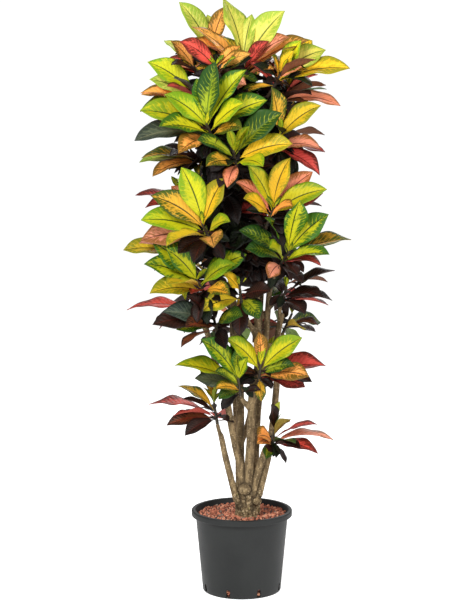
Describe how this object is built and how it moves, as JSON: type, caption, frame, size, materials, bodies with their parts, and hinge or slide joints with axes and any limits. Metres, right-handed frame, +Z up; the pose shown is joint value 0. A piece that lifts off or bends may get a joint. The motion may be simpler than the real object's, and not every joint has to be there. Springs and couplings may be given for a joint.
{
  "type": "potted croton",
  "caption": "Tall potted croton: several woody stems with heads of broad coloured leaves in a dark round nursery pot filled with lava granules.",
  "frame": {"origin": "centre of the pot's flat underside", "axes": "+Z up along the pot's axis and the plant's length, -Y towards the front"},
  "size_m": [0.704, 0.5977, 1.864],
  "materials": {
    "pot_plastic": "matte",
    "lava_granules": "matte",
    "bark": "matte",
    "leaf_lime": "satin",
    "leaf_green": "satin",
    "leaf_red": "satin"
  },
  "bodies": {
    "root": {"head_back_bottom": "leaf_green", "head_back_left": "leaf_green", "head_back_left_low": "leaf_red", "head_back_low": "leaf_green", "head_back_low_mid": "leaf_green", "head_back_mid": "leaf_green", "head_back_right": "leaf_green", "head_back_right_high": "leaf_green", "head_back_top": "leaf_green", "head_back_top_left": "leaf_green", "head_back_top_right": "leaf_green", "head_bottom_front": "leaf_lime", "head_bottom_right": "leaf_lime", "head_inner": "leaf_red", "head_left": "leaf_lime", "head_left_low": "leaf_red", "head_low_front": "leaf_red", "head_low_left": "leaf_red", "head_low_mid_left": "leaf_lime", "head_low_right": "leaf_red", "head_lowest_left": "leaf_red", "head_lowest_right": "leaf_red", "head_mid_front_right": "leaf_lime", "head_mid_left": "leaf_lime", "head_mid_left_low": "leaf_red", "head_mid_right": "leaf_lime", "head_right": "leaf_red", "head_top": "leaf_lime", "head_top_back_left": "leaf_lime", "head_top_left": "leaf_lime", "head_top_left_young": "leaf_lime", "head_top_right": "leaf_lime", "head_top_right_low": "leaf_red", "head_upper_front": "leaf_lime", "head_upper_front_left": "leaf_lime", "head_upper_left": "leaf_lime", "head_upper_left_low": "leaf_red", "head_upper_right": "leaf_lime", "pot": "pot_plastic", "substrate": "lava_granules", "trunk": "bark"}
  },
  "joints": []
}
